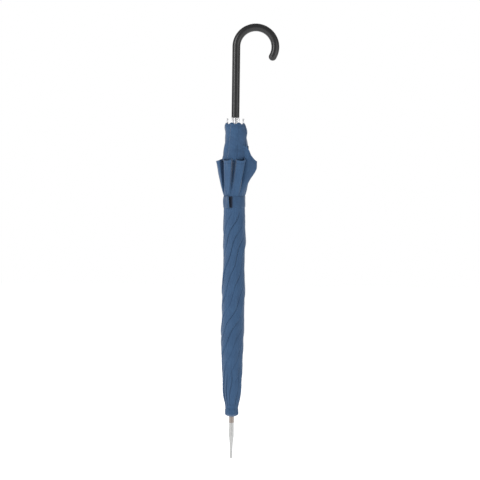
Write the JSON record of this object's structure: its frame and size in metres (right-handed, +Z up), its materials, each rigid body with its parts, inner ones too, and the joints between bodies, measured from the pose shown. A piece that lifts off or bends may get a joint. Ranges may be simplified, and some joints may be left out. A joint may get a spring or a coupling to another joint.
{
  "type": "stick umbrella",
  "caption": "Closed walking umbrella with a crook handle, a furled fabric canopy held by a strap, a steel ferrule and a sliding runner that opens the ribs.",
  "frame": {"origin": "tip of the ferrule, on the shaft's axis", "axes": "+Z up the shaft to the handle; the crook turns over towards +X; +Y completes the right-handed set"},
  "size_m": [0.1251, 0.07, 0.8825],
  "materials": {
    "handle_plastic": "glossy black moulded plastic",
    "shaft_steel": "satin grey painted tube",
    "ferrule_metal": "bright nickel plate",
    "collar_metal": "dull grey-brown metal",
    "rib_steel": "black lacquered steel channel",
    "wire_steel": "plain steel",
    "tip_metal": "bright nickel plate",
    "crown_plastic": "black moulded plastic",
    "canopy_cloth": "slate-blue woven polyester",
    "strap_cloth": "slate-blue woven polyester"
  },
  "bodies": {
    "root": {"handle": "handle_plastic", "shaft": "shaft_steel", "ferrule": "ferrule_metal", "ferrule_collar": "collar_metal", "canopy_cap": "canopy_cloth", "notch": "crown_plastic", "notch_wire": "wire_steel", "notch_pin": "wire_steel", "closed_catch_pin": "wire_steel", "open_catch_pin": "wire_steel"},
    "runner": {"runner": "crown_plastic", "runner_wire": "wire_steel"},
    "closed_catch": {"closed_catch": "wire_steel"},
    "open_catch": {"open_catch": "wire_steel"},
    "rib_1": {"rib_1": "rib_steel", "rib_rivet_1": "wire_steel", "rib_tip_1": "tip_metal"},
    "stretcher_1": {"stretcher_1": "rib_steel"},
    "gore_1": {"canopy_gore_1": "canopy_cloth"},
    "rib_2": {"rib_2": "rib_steel", "rib_rivet_2": "wire_steel", "rib_tip_2": "tip_metal"},
    "stretcher_2": {"stretcher_2": "rib_steel"},
    "gore_2": {"canopy_gore_2": "canopy_cloth"},
    "rib_3": {"rib_3": "rib_steel", "rib_rivet_3": "wire_steel", "rib_tip_3": "tip_metal"},
    "stretcher_3": {"stretcher_3": "rib_steel"},
    "gore_3": {"canopy_gore_3": "canopy_cloth"},
    "rib_4": {"rib_4": "rib_steel", "rib_rivet_4": "wire_steel", "rib_tip_4": "tip_metal"},
    "stretcher_4": {"stretcher_4": "rib_steel"},
    "gore_4": {"canopy_gore_4": "canopy_cloth"},
    "rib_5": {"rib_5": "rib_steel", "rib_rivet_5": "wire_steel", "rib_tip_5": "tip_metal"},
    "stretcher_5": {"stretcher_5": "rib_steel"},
    "gore_5": {"canopy_gore_5": "canopy_cloth"},
    "rib_6": {"rib_6": "rib_steel", "rib_rivet_6": "wire_steel", "rib_tip_6": "tip_metal", "closure_strap": "strap_cloth"},
    "stretcher_6": {"stretcher_6": "rib_steel"},
    "gore_6": {"canopy_gore_6": "canopy_cloth"},
    "rib_7": {"rib_7": "rib_steel", "rib_rivet_7": "wire_steel", "rib_tip_7": "tip_metal"},
    "stretcher_7": {"stretcher_7": "rib_steel"},
    "gore_7": {"canopy_gore_7": "canopy_cloth"},
    "rib_8": {"rib_8": "rib_steel", "rib_rivet_8": "wire_steel", "rib_tip_8": "tip_metal"},
    "stretcher_8": {"stretcher_8": "rib_steel"},
    "gore_8": {"canopy_gore_8": "canopy_cloth"}
  },
  "joints": [
    {"name": "rib_1_swing", "type": "hinge", "parent": "root", "child": "rib_1", "pos_m": [0.00647, -0.00268, 0.098], "axis": [0.3827, 0.9239, 0], "range_deg": [0, 70], "deforming": ["closure_strap"]},
    {"name": "stretcher_1_fold", "type": "hinge", "parent": "rib_1", "child": "stretcher_1", "pos_m": [0.00647, -0.00268, 0.363], "axis": [-0.3827, -0.9239, 0], "range_deg": [0, 140]},
    {"name": "gore_1_fan", "type": "hinge", "parent": "rib_1", "child": "gore_1", "pos_m": [-0.04246, 0, 0.06563], "axis": [-0.8396, 0, -0.5432], "range_deg": [0, 50.72]},
    {"name": "rib_2_swing", "type": "hinge", "parent": "root", "child": "rib_2", "pos_m": [0.00647, 0.00268, 0.098], "axis": [-0.3827, 0.9239, 0], "range_deg": [0, 70]},
    {"name": "stretcher_2_fold", "type": "hinge", "parent": "rib_2", "child": "stretcher_2", "pos_m": [0.00647, 0.00268, 0.363], "axis": [0.3827, -0.9239, 0], "range_deg": [0, 140]},
    {"name": "gore_2_fan", "type": "hinge", "parent": "rib_2", "child": "gore_2", "pos_m": [-0.03002, -0.03002, 0.06563], "axis": [-0.5937, -0.5937, -0.5432], "range_deg": [0, 50.72]},
    {"name": "rib_3_swing", "type": "hinge", "parent": "root", "child": "rib_3", "pos_m": [0.00268, 0.00647, 0.098], "axis": [-0.9239, 0.3827, 0], "range_deg": [0, 70]},
    {"name": "stretcher_3_fold", "type": "hinge", "parent": "rib_3", "child": "stretcher_3", "pos_m": [0.00268, 0.00647, 0.363], "axis": [0.9239, -0.3827, 0], "range_deg": [0, 140]},
    {"name": "gore_3_fan", "type": "hinge", "parent": "rib_3", "child": "gore_3", "pos_m": [0, -0.04246, 0.06563], "axis": [0, -0.8396, -0.5432], "range_deg": [0, 50.72]},
    {"name": "rib_4_swing", "type": "hinge", "parent": "root", "child": "rib_4", "pos_m": [-0.00268, 0.00647, 0.098], "axis": [-0.9239, -0.3827, 0], "range_deg": [0, 70]},
    {"name": "stretcher_4_fold", "type": "hinge", "parent": "rib_4", "child": "stretcher_4", "pos_m": [-0.00268, 0.00647, 0.363], "axis": [0.9239, 0.3827, 0], "range_deg": [0, 140]},
    {"name": "gore_4_fan", "type": "hinge", "parent": "rib_4", "child": "gore_4", "pos_m": [0.03002, -0.03002, 0.06563], "axis": [0.5937, -0.5937, -0.5432], "range_deg": [0, 50.72]},
    {"name": "rib_5_swing", "type": "hinge", "parent": "root", "child": "rib_5", "pos_m": [-0.00647, 0.00268, 0.098], "axis": [-0.3827, -0.9239, 0], "range_deg": [0, 70]},
    {"name": "stretcher_5_fold", "type": "hinge", "parent": "rib_5", "child": "stretcher_5", "pos_m": [-0.00647, 0.00268, 0.363], "axis": [0.3827, 0.9239, 0], "range_deg": [0, 140]},
    {"name": "gore_5_fan", "type": "hinge", "parent": "rib_5", "child": "gore_5", "pos_m": [0.04246, 0, 0.06563], "axis": [0.8396, 0, -0.5432], "range_deg": [0, 50.72]},
    {"name": "rib_6_swing", "type": "hinge", "parent": "root", "child": "rib_6", "pos_m": [-0.00647, -0.00268, 0.098], "axis": [0.3827, -0.9239, 0], "range_deg": [0, 70]},
    {"name": "stretcher_6_fold", "type": "hinge", "parent": "rib_6", "child": "stretcher_6", "pos_m": [-0.00647, -0.00268, 0.363], "axis": [-0.3827, 0.9239, 0], "range_deg": [0, 140]},
    {"name": "gore_6_fan", "type": "hinge", "parent": "rib_6", "child": "gore_6", "pos_m": [0.03002, 0.03002, 0.06563], "axis": [0.5937, 0.5937, -0.5432], "range_deg": [0, 50.72]},
    {"name": "rib_7_swing", "type": "hinge", "parent": "root", "child": "rib_7", "pos_m": [-0.00268, -0.00647, 0.098], "axis": [0.9239, -0.3827, 0], "range_deg": [0, 70]},
    {"name": "stretcher_7_fold", "type": "hinge", "parent": "rib_7", "child": "stretcher_7", "pos_m": [-0.00268, -0.00647, 0.363], "axis": [-0.9239, 0.3827, 0], "range_deg": [0, 140]},
    {"name": "gore_7_fan", "type": "hinge", "parent": "rib_7", "child": "gore_7", "pos_m": [0, 0.04246, 0.06563], "axis": [0, 0.8396, -0.5432], "range_deg": [0, 50.72]},
    {"name": "rib_8_swing", "type": "hinge", "parent": "root", "child": "rib_8", "pos_m": [0.00268, -0.00647, 0.098], "axis": [0.9239, 0.3827, 0], "range_deg": [0, 70]},
    {"name": "stretcher_8_fold", "type": "hinge", "parent": "rib_8", "child": "stretcher_8", "pos_m": [0.00268, -0.00647, 0.363], "axis": [-0.9239, -0.3827, 0], "range_deg": [0, 140]},
    {"name": "gore_8_fan", "type": "hinge", "parent": "rib_8", "child": "gore_8", "pos_m": [-0.03002, 0.03002, 0.06563], "axis": [-0.5937, 0.5937, -0.5432], "range_deg": [0, 50.72]},
    {"name": "runner_turn", "type": "hinge", "parent": "stretcher_1", "child": "runner", "pos_m": [0.00647, -0.00268, 0.628], "axis": [0.3827, 0.9239, 0], "range_deg": [0, 70]},
    {"name": "closed_catch_out", "type": "hinge", "parent": "root", "child": "closed_catch", "pos_m": [0, 0, 0.6266], "axis": [0, -1, 0], "range_deg": [0, 5]},
    {"name": "open_catch_out", "type": "hinge", "parent": "root", "child": "open_catch", "pos_m": [0, 0, 0.31667], "axis": [0, 1, 0], "range_deg": [0, 5]}
  ],
  "couplings": [
    {"joint": "stretcher_1_fold", "follows": "rib_1_swing", "ratio": 2},
    {"joint": "gore_1_fan", "follows": "rib_1_swing", "ratio": 0.72455},
    {"joint": "rib_2_swing", "follows": "rib_1_swing", "ratio": 1},
    {"joint": "stretcher_2_fold", "follows": "rib_1_swing", "ratio": 2},
    {"joint": "gore_2_fan", "follows": "rib_1_swing", "ratio": 0.72455},
    {"joint": "rib_3_swing", "follows": "rib_1_swing", "ratio": 1},
    {"joint": "stretcher_3_fold", "follows": "rib_1_swing", "ratio": 2},
    {"joint": "gore_3_fan", "follows": "rib_1_swing", "ratio": 0.72455},
    {"joint": "rib_4_swing", "follows": "rib_1_swing", "ratio": 1},
    {"joint": "stretcher_4_fold", "follows": "rib_1_swing", "ratio": 2},
    {"joint": "gore_4_fan", "follows": "rib_1_swing", "ratio": 0.72455},
    {"joint": "rib_5_swing", "follows": "rib_1_swing", "ratio": 1},
    {"joint": "stretcher_5_fold", "follows": "rib_1_swing", "ratio": 2},
    {"joint": "gore_5_fan", "follows": "rib_1_swing", "ratio": 0.72455},
    {"joint": "rib_6_swing", "follows": "rib_1_swing", "ratio": 1},
    {"joint": "stretcher_6_fold", "follows": "rib_1_swing", "ratio": 2},
    {"joint": "gore_6_fan", "follows": "rib_1_swing", "ratio": 0.72455},
    {"joint": "rib_7_swing", "follows": "rib_1_swing", "ratio": 1},
    {"joint": "stretcher_7_fold", "follows": "rib_1_swing", "ratio": 2},
    {"joint": "gore_7_fan", "follows": "rib_1_swing", "ratio": 0.72455},
    {"joint": "rib_8_swing", "follows": "rib_1_swing", "ratio": 1},
    {"joint": "stretcher_8_fold", "follows": "rib_1_swing", "ratio": 2},
    {"joint": "gore_8_fan", "follows": "rib_1_swing", "ratio": 0.72455},
    {"joint": "runner_turn", "follows": "rib_1_swing", "ratio": 1}
  ]
}
